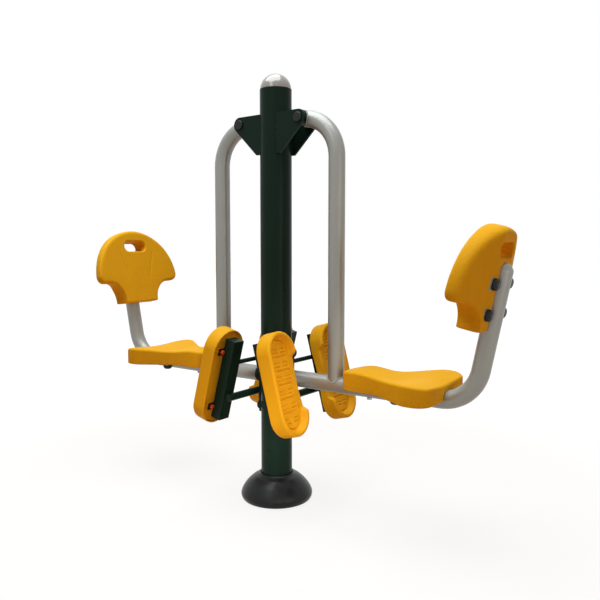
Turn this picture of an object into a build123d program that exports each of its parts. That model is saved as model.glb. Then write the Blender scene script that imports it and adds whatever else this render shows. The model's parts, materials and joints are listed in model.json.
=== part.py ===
"""Double seated leg press for a park: a post, two swinging seats and four fixed foot trays.

Units are millimetres. The origin is the centre of the post at ground level, +Z is up and +X
points to the right seat. The right side and the front (-Y) are drawn, the others are mirrored.
"""

import os
from math import cos, radians, sin, sqrt

from build123d import *

# Post, flange, boot and dome cap
post_d = 114.0
post_wall = 3.5
post_top_z = 1484.0
flange_d = 230.0
flange_t = 10.0
anchor_circle_d = 178.0
anchor_hole_d = 16.0
anchor_count = 4
boot_flange_clear = 7.0
boot_swell = 6.0
boot_wide_z = 21.0
boot_shoulder_in = 25.0
boot_shoulder_z = 64.0
boot_collar_w = 8.5
boot_collar_z = 92.0
boot_lip_h = 5.0
boot_wall = 4.0
boot_clear = 0.3
cap_step = 1.5
cap_wall = 4.0
cap_plug_len = 25.0
cap_plug_clear = 0.3

# Ears and axle
pivot_reach = 73.9
pivot_drop = 115.6
ear_t = 8.0
ear_gap = 76.0
ear_nose_r = 27.0
ear_depth = 141.0
ear_foot_w = 11.0
axle_d = 20.0
axle_head_d = 28.0
axle_head_t = 5.0
axle_thread_d = 16.0
axle_nut_af = 24.0
axle_nut_t = 10.0
axle_thread_over = 2.0
axle_cap_d = 33.0
axle_cap_wall = 1.5
axle_cap_round = 3.0
washer_t = 2.8
washer_d = 44.0

# Swing arm: hub, bearings and bent tubes
tube_d = 57.0
tube_wall = 3.0
hub_d = 54.0
hub_len = 70.0
bearing_d = 47.0
bearing_w = 14.0
hub_shoulder_w = 3.0
arm_reach = 128.9
arm_dip = 4.0
seat_tube_z = 456.5
seat_bend_r = 130.0
back_lean = 11.3
upright_setback = 85.0
upright_end = 412.6
end_dome_h = 22.0
end_plug_len = 20.0
bumper_t = 13.0
bumper_plug_len = 25.0
bumper_gap = 0.3

# Seat shell, measured from its front along X and across Y
seat_setback = 45.2
seat_lift = 0.5
seat_len = 362.0
seat_nose_w = 150.0
seat_nose_r = 70.0
seat_waist = 152.0
seat_waist_r = 90.0
seat_wide_w = 322.0
seat_wide_run = 77.0
seat_wide_r = 60.0
seat_heel_r = 46.0
seat_edge_h = 52.0
seat_nose_rise = 13.5
seat_nose_peak = 70.0
seat_dip = 170.0
seat_dip_rise = 3.5
seat_rear_peak_in = 62.0
seat_rear_rise = 9.0
seat_edge_r = 8.0
seat_wall = 5.0
seat_tube_clear = 1.5

# Backrest shell, heights along the upright from the corner of the two tube runs
back_foot = 229.0
back_top = 534.0
back_neck_w = 172.0
back_cove_r = 78.0
back_wing_h = 314.0
back_wing_w = 428.0
back_tip_r = 24.0
back_front = 74.0
back_rear_neck_w = 176.0
back_rear_wing_w = 320.0
back_rear_cove_r = 56.0
back_rear_tip_r = 10.0
back_bow = 17.0
back_lug_seat = 7.0
back_bevel_w = 26.0
back_bevel_t = 8.0
back_bevel_tip_r = 10.0
back_wall = 6.0
slot_w = 112.0
slot_h = 45.0
slot_drop = 64.0
groove_clear = 0.5

# Lugs, bolts and dome caps of the seat and the backrest
lug_w = 40.0
lug_t = 6.0
lug_reach = 76.0
lug_bolt_y = 56.0
seat_lug_at = 214.0
seat_pin_at = 88.0
seat_pin_len = 74.0
back_lug_low = 282.0
back_lug_pitch = 91.0
boss_d = 34.0
bolt_d = 10.0
bolt_hole_d = 11.0
bolt_len = 32.0
bolt_head_af = 17.0
bolt_head_t = 6.4
dome_d = 36.0
dome_h = 18.0
dome_round = 11.0
dome_hollow_d = 26.0
dome_hollow_h = 13.0

# Footrest frame: saddle bars, rods and box brackets
saddle_t = 10.0
saddle_w = 40.0
saddle_end = 20.0
saddle_bolt_d = 12.0
saddle_hole_d = 13.0
saddle_bolt_below = 56.0
saddle_bolt_above = 31.0
saddle_head_af = 19.0
saddle_head_t = 7.5
saddle_washer_d = 24.0
saddle_washer_t = 2.5
rod_low_d = 27.0
rod_low_clear = 20.5
rod_low_len = 352.0
rod_up_d = 16.0
rod_up_clear = 24.0
tray_lean = 15.0
bracket_w = 50.0
bracket_d = 40.0
bracket_wall = 3.0
bracket_len = 290.0
bracket_foot = 88.0
end_plate_t = 4.0
bracket_y = 159.0

# Foot trays and their fixings
tray_y = 153.0
tray_centre = 52.8
tray_len = 357.0
tray_w = 150.0
tray_h = 55.0
tray_recess = 20.0
tray_rim_w = 20.0
tray_rim_taper = 20.0
tray_floor_t = 5.0
tray_wall = 5.0
tray_gate_len = 186.0
tray_gate_shift = 5.0
tray_gate_r = 14.0
tray_scoop_len = 150.0
tray_scoop = 6.0
tray_edge_r = 7.0
tray_lug_pitch = 208.0
tray_lug_len = 106.0
tray_lug_w = 24.0
tray_lug_t = 5.0
tray_bolt_y = 40.0
tray_bolt_d = 8.0
tray_bolt_len = 24.0
tray_bolt_head_d = 13.0
tray_bolt_head_t = 5.0
tray_boss_d = 20.0
tray_cap_d = 15.5
tray_cap_t = 8.0

# Shared fits
fit_gap = 0.1
weld_gap = 0.2
running_gap = 0.05

# Places worked out from the sizes
post_r = post_d / 2
boot_foot_r = flange_d / 2 + boot_flange_clear + boot_wall
boot_wide_r = boot_foot_r + boot_swell
boot_shoulder_r = boot_wide_r - boot_shoulder_in
tube_r = tube_d / 2
pivot_x = post_r + pivot_reach
pivot_z = post_top_z - pivot_drop
ear_inner_y = ear_gap / 2
ear_outer_y = ear_inner_y + ear_t
arm_x = pivot_x + arm_reach
saddle_x = post_r + saddle_t
tube_end_x = saddle_x + bumper_gap + bumper_t
seat_x = arm_x + seat_setback
seat_bottom_z = seat_tube_z + seat_lift
corner_x = seat_x + seat_len + upright_setback
seat_wide_start = seat_len - seat_wide_run
seat_rear_peak = seat_len - seat_rear_peak_in
slot_centre_h = back_top - slot_drop
rod_low_x = saddle_x + rod_low_d / 2
rod_low_z = seat_tube_z - tube_r - rod_low_clear - rod_low_d / 2
rod_up_x = saddle_x + rod_up_d / 2
rod_up_z = seat_tube_z + tube_r + rod_up_clear + rod_up_d / 2
saddle_bolt_z = (rod_low_z - saddle_bolt_below, rod_up_z + saddle_bolt_above)
saddle_mid_z = sum(saddle_bolt_z) / 2
saddle_len = saddle_bolt_z[1] - saddle_bolt_z[0] + 2 * saddle_end

lean = radians(back_lean)
back_plane = Plane(
    origin=(corner_x, 0, seat_tube_z), x_dir=(0, 1, 0), z_dir=(cos(lean), 0, -sin(lean))
)
tilt = radians(tray_lean)
frame_plane = Plane(
    origin=(rod_low_x, 0, rod_low_z), x_dir=(-sin(tilt), 0, cos(tilt)), z_dir=(cos(tilt), 0, sin(tilt))
)
bracket_web = rod_low_d / 2 + fit_gap
bracket_front = bracket_web + bracket_d
bracket_mid = bracket_len / 2 - bracket_foot
tray_plane = Plane(
    origin=frame_plane.from_local_coords((tray_centre, tray_y, bracket_front + tray_lug_t + fit_gap)),
    x_dir=frame_plane.x_dir,
    z_dir=frame_plane.z_dir,
)
base_align = (Align.CENTER, Align.CENTER, Align.MIN)
top_align = (Align.CENTER, Align.CENTER, Align.MAX)

os.makedirs("parts", exist_ok=True)


def save(part, name):
    """Label one finished piece and write it."""
    part.label = name
    export_step(part, f"parts/{name}.step")


def save_pair(part, name):
    """Write a right-hand piece and its mirror image on the left."""
    save(part, f"right_{name}")
    with BuildPart() as twin:
        mirror(part, about=Plane.YZ)
    save(twin.part, f"left_{name}")


def save_both(part, name):
    """Write a right-hand piece and its mirror image as one group."""
    with BuildPart() as both:
        add(part)
        mirror(part, about=Plane.YZ)
    save(both.part, name)


def save_corners(part, name):
    """Write a right front piece and its three mirror images."""
    with BuildPart() as rear:
        mirror(part, about=Plane.XZ)
    save_pair(part, f"front_{name}")
    save_pair(rear.part, f"rear_{name}")


def group(unit, planes):
    """Put one small piece on each plane, as separate solids of one group."""
    with BuildPart() as many:
        with Locations(*planes):
            add(unit)
    return many.part


def hex_bolt(shank_d, shank_len, head_af, head_t):
    """Bolt whose head stands on the plane and whose shank goes down through it."""
    with BuildPart() as bolt:
        with BuildSketch():
            RegularPolygon(head_af / 2, 6, major_radius=False)
        extrude(amount=head_t)
        Cylinder(shank_d / 2, shank_len, align=top_align)
    return bolt.part


def hex_nut(bore_d, across, height):
    """Plain hexagon nut standing on the plane."""
    with BuildPart() as nut:
        with BuildSketch():
            RegularPolygon(across / 2, 6, major_radius=False)
            Circle(bore_d / 2 + fit_gap, mode=Mode.SUBTRACT)
        extrude(amount=height)
    return nut.part


def cover_cap(outer_d, height, hollow_d, hollow_h, round_r):
    """Hollow plastic cap with a rounded top, open at the plane."""
    with BuildPart() as cap:
        Cylinder(outer_d / 2, height, align=base_align)
        fillet(cap.edges().filter_by(GeomType.CIRCLE).sort_by(Axis.Z)[-1], round_r)
        Cylinder(hollow_d / 2, hollow_h, align=base_align, mode=Mode.SUBTRACT)
    return cap.part


# Base flange, welded under the post
with BuildPart() as base_flange:
    Cylinder(flange_d / 2, flange_t, align=base_align)
    with PolarLocations(anchor_circle_d / 2, anchor_count, start_angle=180 / anchor_count):
        Hole(anchor_hole_d / 2)
save(base_flange.part, "base_flange")

# Post tube with the crossing holes of the saddle bolts
with BuildPart() as post_tube:
    with BuildSketch(Plane.XY.offset(flange_t)):
        Circle(post_r)
        Circle(post_r - post_wall, mode=Mode.SUBTRACT)
    extrude(amount=post_top_z - flange_t)
    with Locations(*[(0, 0, z) for z in saddle_bolt_z]):
        Cylinder(saddle_hole_d / 2, 2 * post_d, rotation=(0, 90, 0), mode=Mode.SUBTRACT)
save(post_tube.part, "post_tube")

# Boot that hides the flange and its anchor nuts
boot_bore = post_r + boot_clear
boot_collar_r = post_r + boot_collar_w
with BuildPart() as base_boot:
    with BuildSketch(Plane.XZ):
        with BuildLine():
            Line((boot_foot_r, 0), (boot_wide_r, boot_wide_z))
            ThreePointArc(
                (boot_wide_r, boot_wide_z),
                (boot_shoulder_r, boot_shoulder_z),
                (boot_collar_r, boot_collar_z),
            )
            Polyline(
                (boot_collar_r, boot_collar_z),
                (boot_collar_r - boot_wall, boot_collar_z + boot_lip_h),
                (boot_bore, boot_collar_z + boot_lip_h),
                (boot_bore, boot_collar_z - boot_wall),
                (boot_collar_r - boot_wall, boot_collar_z - boot_wall),
            )
            ThreePointArc(
                (boot_collar_r - boot_wall, boot_collar_z - boot_wall),
                (boot_shoulder_r - boot_wall, boot_shoulder_z - boot_wall),
                (boot_wide_r - boot_wall, boot_wide_z),
            )
            Polyline(
                (boot_wide_r - boot_wall, boot_wide_z), (boot_foot_r - boot_wall, 0), (boot_foot_r, 0)
            )
        make_face()
    revolve(axis=Axis.Z)
save(base_boot.part, "base_boot")

# Dome cap plugged into the post
dome_r = post_r - cap_step
plug_r = post_r - post_wall - cap_plug_clear
with BuildPart() as post_cap:
    with Locations((0, 0, post_top_z)):
        Sphere(dome_r, arc_size1=0, align=base_align)
        Cylinder(plug_r, cap_plug_len, align=top_align)
        Sphere(dome_r - cap_wall, arc_size1=0, align=base_align, mode=Mode.SUBTRACT)
        Cylinder(plug_r - cap_wall, cap_plug_len, align=top_align, mode=Mode.SUBTRACT)
save(post_cap.part, "post_cap")

# Ear plates, shaped to the post and bored for the axle
ear_foot_x = sqrt(post_r**2 - ear_inner_y**2)
with BuildPart() as ear:
    with BuildSketch(Plane.XZ.offset(ear_inner_y)):
        with Locations((pivot_x, pivot_z)):
            Circle(ear_nose_r)
        with Locations((ear_foot_x, pivot_z + ear_nose_r - ear_depth / 2)):
            Rectangle(2 * ear_foot_w, ear_depth)
        make_hull()
        with Locations((pivot_x, pivot_z)):
            Circle(axle_d / 2 + fit_gap, mode=Mode.SUBTRACT)
    extrude(amount=ear_t)
    Cylinder(post_r + weld_gap, post_top_z, align=base_align, mode=Mode.SUBTRACT)
save_corners(ear.part, "ear_plate")

# Axle pin with a flat head at the front and a thread at the rear
axle_front = Plane((pivot_x, -ear_outer_y, pivot_z), z_dir=(0, -1, 0))
axle_rear = Plane((pivot_x, ear_outer_y, pivot_z), z_dir=(0, 1, 0))
thread_len = axle_nut_t + axle_thread_over
with BuildPart() as axle_pin:
    with Locations(axle_front):
        Cylinder(axle_head_d / 2, axle_head_t, align=base_align)
        Cylinder(axle_d / 2, 2 * ear_outer_y, align=top_align)
    with Locations(axle_rear):
        Cylinder(axle_thread_d / 2, thread_len, align=base_align)
save_pair(axle_pin.part, "axle_pin")

axle_nut = hex_nut(axle_thread_d, axle_nut_af, axle_nut_t)
save_both(group(axle_nut, [axle_rear]), "axle_nuts")

front_cap = cover_cap(
    axle_cap_d, axle_head_t + axle_cap_wall + fit_gap, axle_head_d + 2 * fit_gap,
    axle_head_t + fit_gap, axle_cap_round,
)
rear_cap = cover_cap(
    axle_cap_d, thread_len + axle_cap_wall + fit_gap, 2 * axle_nut_af / sqrt(3) + 2 * fit_gap,
    thread_len + fit_gap, axle_cap_round,
)
with BuildPart() as axle_caps:
    add(group(front_cap, [axle_front]))
    add(group(rear_cap, [axle_rear]))
save_both(axle_caps.part, "axle_caps")

# Thrust washers between the hub and the ears
with BuildPart() as washer:
    Cylinder(washer_d / 2, washer_t)
    Cylinder(axle_d / 2 + fit_gap, washer_t, mode=Mode.SUBTRACT)
washer_y = ear_inner_y - fit_gap - washer_t / 2
washer_planes = [Plane((pivot_x, y, pivot_z), z_dir=(0, 1, 0)) for y in (-washer_y, washer_y)]
save_both(group(washer.part, washer_planes), "thrust_washers")

# Hub sleeve with a bearing seat at each end
hub_plane = Plane((pivot_x, 0, pivot_z), z_dir=(0, 1, 0))
with BuildPart() as hub_sleeve:
    with Locations(hub_plane):
        Cylinder(hub_d / 2, hub_len)
        Cylinder(bearing_d / 2 - hub_shoulder_w, hub_len, mode=Mode.SUBTRACT)
    with Locations(hub_plane.offset(-hub_len / 2)):
        Cylinder(bearing_d / 2, bearing_w, align=base_align, mode=Mode.SUBTRACT)
    with Locations(hub_plane.offset(hub_len / 2)):
        Cylinder(bearing_d / 2, bearing_w, align=top_align, mode=Mode.SUBTRACT)
save_pair(hub_sleeve.part, "hub_sleeve")

with BuildPart() as bearing:
    Cylinder(bearing_d / 2 - running_gap, bearing_w)
    Cylinder(axle_d / 2 + running_gap, bearing_w, mode=Mode.SUBTRACT)
bearing_off = (hub_len - bearing_w) / 2
save_pair(group(bearing.part, [hub_plane.offset(d) for d in (-bearing_off, bearing_off)]), "hub_bearings")

# Arm tube, bent from the hub down to the seat tube and saddled on both
dip = radians(arm_dip)
arm_bend_r = arm_reach / (1 - sin(dip))
with BuildPart() as arm_tube:
    with BuildLine(Plane.XZ):
        arm_bend = JernArc((pivot_x, pivot_z), (cos(dip), -sin(dip)), arm_bend_r, arm_dip - 90)
        Line(arm_bend @ 1, (arm_x, seat_tube_z))
    with BuildSketch(Plane((pivot_x, 0, pivot_z), z_dir=(cos(dip), 0, -sin(dip)))):
        Circle(tube_r)
        Circle(tube_r - tube_wall, mode=Mode.SUBTRACT)
    sweep()
    with Locations(hub_plane):
        Cylinder(hub_d / 2 + weld_gap, 2 * tube_d, mode=Mode.SUBTRACT)
    with Locations((arm_x, 0, seat_tube_z)):
        Cylinder(tube_r + weld_gap, 4 * tube_d, rotation=(0, 90, 0), mode=Mode.SUBTRACT)
save_pair(arm_tube.part, "arm_tube")


def seat_tube_rod(section_r, start_x):
    """Solid rod along the bent seat tube, from start_x to the end of the upright."""
    top = back_plane.from_local_coords((0, upright_end, 0))
    with BuildPart() as rod:
        with BuildLine(Plane.XZ):
            FilletPolyline(
                (start_x, seat_tube_z), (corner_x, seat_tube_z), (top.X, top.Z), radius=seat_bend_r
            )
        with BuildSketch(Plane((start_x, 0, seat_tube_z), z_dir=(1, 0, 0))):
            Circle(section_r)
        sweep()
    return rod.part


# Seat tube, cross bored for the bolt that holds the front of the seat
seat_pin_plane = Plane((seat_x + seat_pin_at, 0, seat_tube_z - tube_r), z_dir=(0, 0, -1))
with BuildPart() as seat_tube:
    add(seat_tube_rod(tube_r, tube_end_x))
    add(seat_tube_rod(tube_r - tube_wall, tube_end_x), mode=Mode.SUBTRACT)
    with Locations(seat_pin_plane):
        Cylinder(bolt_hole_d / 2, 4 * tube_d, mode=Mode.SUBTRACT)
save_pair(seat_tube.part, "seat_tube")

# Rubber bumper plugged into the inner end of the seat tube
tube_bore_r = tube_r - tube_wall - fit_gap
bumper_plane = Plane((tube_end_x, 0, seat_tube_z), z_dir=(1, 0, 0))
with BuildPart() as bumper:
    with Locations(bumper_plane):
        Cylinder(tube_r, bumper_t, align=top_align)
        Cylinder(tube_bore_r, bumper_plug_len, align=base_align)
save_pair(bumper.part, "seat_bumper")

# Dome cap on the upper end of the upright
end_plane = Plane(
    back_plane.from_local_coords((0, upright_end, 0)), x_dir=(0, 1, 0), z_dir=back_plane.y_dir
)
dome_sphere_r = (tube_r**2 + end_dome_h**2) / (2 * end_dome_h)
with BuildPart() as end_cap:
    with Locations(end_plane.offset(end_dome_h - dome_sphere_r)):
        Sphere(dome_sphere_r)
    with Locations(end_plane):
        Cylinder(2 * tube_d, 4 * tube_d, align=top_align, mode=Mode.SUBTRACT)
        Cylinder(tube_bore_r, end_plug_len, align=top_align)
save_pair(end_cap.part, "upright_end_cap")

# Lugs at mid height of the seat tube, under the seat
seat_bolts_at = [(seat_x + seat_lug_at, y) for y in (-lug_bolt_y, lug_bolt_y)]
with BuildPart() as seat_lugs:
    with BuildSketch(Plane.XY.offset(seat_bottom_z)):
        with Locations((seat_x + seat_lug_at, 0)):
            Rectangle(lug_w, 2 * lug_reach)
        with Locations(*seat_bolts_at):
            Circle(bolt_hole_d / 2, mode=Mode.SUBTRACT)
    extrude(amount=-lug_t)
    add(seat_tube_rod(tube_r + weld_gap, tube_end_x), mode=Mode.SUBTRACT)
save_pair(seat_lugs.part, "seat_lugs")

# Lugs on the back of the upright, behind the backrest
back_bolt_h = [back_lug_low, back_lug_low + back_lug_pitch]
back_bolts_at = [(y, h) for h in back_bolt_h for y in (-lug_bolt_y, lug_bolt_y)]
with BuildPart() as back_lugs:
    with BuildSketch(back_plane.offset(-back_lug_seat)):
        with Locations(*[(0, h) for h in back_bolt_h]):
            Rectangle(2 * lug_reach, lug_w)
        with Locations(*back_bolts_at):
            Circle(bolt_hole_d / 2, mode=Mode.SUBTRACT)
    extrude(amount=lug_t)
    add(seat_tube_rod(tube_r + weld_gap, tube_end_x), mode=Mode.SUBTRACT)
save_pair(back_lugs.part, "back_lugs")


def seat_block(inset):
    """Seat form, drawn in by inset at the sides and the top."""
    half = [
        (0, 0),
        (0, seat_nose_w / 2),
        (seat_waist, seat_nose_w / 2),
        (seat_wide_start, seat_wide_w / 2),
        (seat_len, seat_wide_w / 2),
        (seat_len, 0),
    ]
    radii = [seat_nose_r, seat_waist_r, seat_wide_r, seat_heel_r]
    edge_z = seat_edge_h - inset
    crown = [
        (-seat_wall, edge_z),
        (seat_nose_peak, edge_z + seat_nose_rise),
        (seat_dip, edge_z + seat_dip_rise),
        (seat_rear_peak, edge_z + seat_rear_rise),
        (seat_len + seat_wall, edge_z),
    ]
    with BuildPart() as block:
        with BuildSketch(Plane((seat_x, 0, seat_bottom_z))):
            with BuildLine():
                FilletPolyline(*half, radius=radii)
                mirror(about=Plane.XZ)
            make_face()
            if inset:
                offset(amount=-inset)
        extrude(amount=2 * seat_edge_h)
        with BuildSketch(Plane((seat_x, seat_wide_w, seat_bottom_z), x_dir=(1, 0, 0), z_dir=(0, -1, 0))):
            with BuildLine():
                top_line = Spline(*crown)
                Polyline(
                    top_line @ 1,
                    (seat_len + seat_wall, 3 * seat_edge_h),
                    (-seat_wall, 3 * seat_edge_h),
                    top_line @ 0,
                )
            make_face()
        extrude(amount=2 * seat_wide_w, mode=Mode.SUBTRACT)
    return block.part


# Seat shell, open below, with two bosses that stand on the lugs and one above the tube
with BuildPart() as seat:
    add(seat_block(0))
    seat_top = seat.faces().filter_by(GeomType.PLANE, reverse=True).sort_by(Axis.Z)[-1]
    fillet(seat_top.edges(), seat_edge_r)
    add(seat_block(seat_wall), mode=Mode.SUBTRACT)
    with Locations((seat_x + seat_pin_at, 0, seat_bottom_z)):
        Cylinder(boss_d / 2, seat_edge_h + seat_rear_rise, align=base_align)
    with Locations(*[(x, y, seat_bottom_z) for x, y in seat_bolts_at]):
        Cylinder(boss_d / 2, seat_edge_h + seat_dip_rise, align=base_align)
        Cylinder(bolt_d / 2 + fit_gap, bolt_len, align=base_align, mode=Mode.SUBTRACT)
    add(seat_tube_rod(tube_r + seat_tube_clear, tube_end_x), mode=Mode.SUBTRACT)
    with Locations(seat_pin_plane):
        Cylinder(bolt_d / 2 + fit_gap, seat_pin_len, align=top_align, mode=Mode.SUBTRACT)
save_pair(seat.part, "seat")


def back_outline(wing_w, neck_w, cove_r, tip_r, bevel, inset):
    """Face of the backrest across the upright: an arched fan with two wings above a neck."""
    wing_x = wing_w / 2 - bevel
    neck_x = neck_w / 2 - bevel
    cove_x = neck_w / 2 + cove_r
    top_h = back_top - bevel
    wing_h = back_wing_h + bevel
    rise = top_h - wing_h
    fan_r = (wing_x**2 + rise**2) / (2 * rise)
    fan_h = top_h - fan_r
    with BuildSketch() as outline:
        with BuildLine():
            ThreePointArc(
                (0, top_h),
                (fan_r * cos(radians(45)), fan_h + fan_r * sin(radians(45))),
                (wing_x, wing_h),
            )
            Line((wing_x, wing_h), (cove_x, wing_h))
            JernArc((cove_x, wing_h), (-1, 0), cove_r + bevel, 90)
            Polyline((neck_x, back_wing_h - cove_r), (neck_x, back_foot), (0, back_foot))
            mirror(about=Plane.YZ)
        make_face()
        tips = outline.vertices().group_by(Axis.Y)[2].sort_by(Axis.X)
        fillet([tips[0], tips[-1]], tip_r)
        if inset:
            offset(amount=-inset)
    return outline.sketch


def back_block(inset):
    """Backrest form, bevelled in front and narrower at its bowed rear, drawn in by inset."""
    front = (back_wing_w, back_neck_w, back_cove_r)
    rear = (back_rear_wing_w, back_rear_neck_w, back_rear_cove_r)
    bow_r = ((back_rear_wing_w / 2) ** 2 + back_bow**2) / (2 * back_bow)
    bow_axis = back_plane.from_local_coords((0, back_wing_h, -bow_r))
    with BuildPart() as block:
        with BuildSketch(back_plane.offset(inset - back_front)):
            add(back_outline(*front, back_bevel_tip_r, back_bevel_w, inset))
        with BuildSketch(back_plane.offset(inset + back_bevel_t - back_front)):
            add(back_outline(*front, back_tip_r, 0, inset))
        with BuildSketch(back_plane):
            add(back_outline(*rear, back_rear_tip_r, 0, inset))
        loft(ruled=True)
        with Locations(Plane(bow_axis, x_dir=(0, 1, 0), z_dir=back_plane.y_dir)):
            Cylinder(bow_r - inset, 4 * back_wing_w, mode=Mode.INTERSECT)
    return block.part


# Backrest, a hollow moulding with a hand slot, a groove for the upright and four bosses
groove_r = tube_r + groove_clear
groove_plane = Plane(back_plane.from_local_coords((0, 0, 0)), x_dir=(0, 1, 0), z_dir=back_plane.y_dir)
with BuildPart() as back_core:
    add(back_block(back_wall))
    with BuildSketch(back_plane):
        with Locations((0, slot_centre_h)):
            SlotOverall(slot_w + 2 * back_wall, slot_h + 2 * back_wall)
        with Locations(*back_bolts_at):
            Circle(boss_d / 2)
    extrude(amount=back_front, both=True, mode=Mode.SUBTRACT)
    with Locations(groove_plane):
        Cylinder(groove_r + back_wall, upright_end, align=base_align, mode=Mode.SUBTRACT)
    with Locations(end_plane):
        Sphere(groove_r + back_wall, mode=Mode.SUBTRACT)

with BuildPart() as backrest:
    add(back_block(0))
    add(back_core.part, mode=Mode.SUBTRACT)
    with BuildSketch(back_plane.offset(-back_lug_seat)):
        with Locations(*[(0, h) for h in back_bolt_h]):
            Rectangle(2 * (lug_reach + groove_clear), lug_w + 2 * groove_clear)
    extrude(amount=back_front, mode=Mode.SUBTRACT)
    with BuildSketch(back_plane):
        with Locations((0, slot_centre_h)):
            SlotOverall(slot_w, slot_h)
    extrude(amount=2 * back_front, both=True, mode=Mode.SUBTRACT)
    with Locations(groove_plane):
        Cylinder(groove_r, upright_end, align=base_align, mode=Mode.SUBTRACT)
    with Locations(end_plane):
        Sphere(groove_r, mode=Mode.SUBTRACT)
    with BuildSketch(back_plane.offset(-back_lug_seat)):
        with Locations(*back_bolts_at):
            Circle(bolt_d / 2 + fit_gap)
    extrude(amount=-bolt_len, mode=Mode.SUBTRACT)
save_pair(backrest.part, "backrest")

# Bolts and dome caps that hold the seat and the backrest to their lugs
seat_bolt_planes = [Plane((x, y, seat_bottom_z - lug_t), z_dir=(0, 0, -1)) for x, y in seat_bolts_at]
back_bolt_planes = [
    Plane(back_plane.from_local_coords((y, h, lug_t - back_lug_seat)), z_dir=back_plane.z_dir)
    for y, h in back_bolts_at
]
lug_bolt = hex_bolt(bolt_d, bolt_len, bolt_head_af, bolt_head_t)
dome_cap = cover_cap(dome_d, dome_h, dome_hollow_d, dome_hollow_h, dome_round)
seat_pin = hex_bolt(bolt_d, seat_pin_len, bolt_head_af, bolt_head_t)
with BuildPart() as lug_bolts:
    add(group(lug_bolt, seat_bolt_planes + back_bolt_planes))
    add(group(seat_pin, [seat_pin_plane]))
save_pair(lug_bolts.part, "lug_bolts")
save_pair(group(dome_cap, seat_bolt_planes + back_bolt_planes), "lug_bolt_caps")

# Saddle bars on both sides of the post, held by two through bolts
with BuildPart() as saddle_bar:
    with Locations((saddle_x, 0, saddle_mid_z)):
        Box(saddle_x, saddle_w, saddle_len, align=(Align.MAX, Align.CENTER, Align.CENTER))
    Cylinder(post_r + weld_gap, post_top_z, align=base_align, mode=Mode.SUBTRACT)
    with Locations(*[(saddle_x, 0, z) for z in saddle_bolt_z]):
        Cylinder(saddle_hole_d / 2, 2 * saddle_t + post_d, rotation=(0, 90, 0), mode=Mode.SUBTRACT)
save_pair(saddle_bar.part, "saddle_bar")

right_seats = [Plane((saddle_x, 0, z), z_dir=(1, 0, 0)) for z in saddle_bolt_z]
left_seats = [Plane((-saddle_x, 0, z), z_dir=(-1, 0, 0)) for z in saddle_bolt_z]
with BuildPart() as saddle_washer:
    Cylinder(saddle_washer_d / 2, saddle_washer_t, align=base_align)
    Cylinder(saddle_hole_d / 2, saddle_washer_t, align=base_align, mode=Mode.SUBTRACT)
save(group(saddle_washer.part, right_seats + left_seats), "saddle_washers")
saddle_nut_t = saddle_head_t + saddle_washer_t
saddle_bolt = hex_bolt(
    saddle_bolt_d, 2 * (saddle_x + saddle_washer_t) + saddle_nut_t, saddle_head_af, saddle_head_t
)
saddle_nut = hex_nut(saddle_bolt_d, saddle_head_af, saddle_nut_t)
save(group(saddle_bolt, [p.offset(saddle_washer_t) for p in right_seats]), "saddle_bolts")
save(group(saddle_nut, [p.offset(saddle_washer_t) for p in left_seats]), "saddle_nuts")
save(group(dome_cap, right_seats + left_seats), "saddle_bolt_caps")

# Cross rods, welded to the saddle bars and carrying the box brackets
with BuildPart() as lower_rod:
    with Locations((rod_low_x + fit_gap, 0, rod_low_z)):
        Cylinder(rod_low_d / 2, rod_low_len, rotation=(90, 0, 0))
save_pair(lower_rod.part, "lower_rod")

rod_up_len = 2 * bracket_y - bracket_w
with BuildPart() as upper_rod:
    with Locations((rod_up_x + fit_gap, 0, rod_up_z)):
        Cylinder(rod_up_d / 2, rod_up_len - 2 * fit_gap, rotation=(90, 0, 0))
save_pair(upper_rod.part, "upper_rod")

# Box bracket behind each foot tray, with its end plates
bracket_plane = Plane(
    frame_plane.from_local_coords((bracket_mid, bracket_y, bracket_web)),
    x_dir=frame_plane.x_dir,
    z_dir=frame_plane.z_dir,
)
bracket_inner = (bracket_w - 2 * bracket_wall, bracket_d - 2 * bracket_wall)
with BuildPart() as bracket:
    with Locations(bracket_plane):
        Box(bracket_len, bracket_w, bracket_d, align=base_align)
    with Locations(bracket_plane.offset(bracket_wall)):
        Box(bracket_len, *bracket_inner, align=base_align, mode=Mode.SUBTRACT)
save_corners(bracket.part, "tray_bracket")

end_off = (bracket_len + end_plate_t) / 2
with BuildPart() as end_plates:
    with Locations(bracket_plane):
        with Locations((-end_off, 0, 0), (end_off, 0, 0)):
            Box(end_plate_t, bracket_w, bracket_d, align=base_align)
    mirror(about=Plane.XZ)
save_both(end_plates.part, "bracket_end_plates")

# Cross lugs on the front of each bracket, behind the tray
lug_s = tray_lug_pitch / 2
tray_bolts_at = [(s, y) for s in (-lug_s, lug_s) for y in (-tray_bolt_y, tray_bolt_y)]
with BuildPart() as tray_lugs:
    with BuildSketch(tray_plane):
        with Locations((-lug_s, 0), (lug_s, 0)):
            Rectangle(tray_lug_w, tray_lug_len)
        with Locations(*tray_bolts_at):
            Circle(tray_bolt_d / 2 + fit_gap, mode=Mode.SUBTRACT)
    extrude(amount=-tray_lug_t)
    mirror(about=Plane.XZ)
save_both(tray_lugs.part, "tray_lugs")

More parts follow.
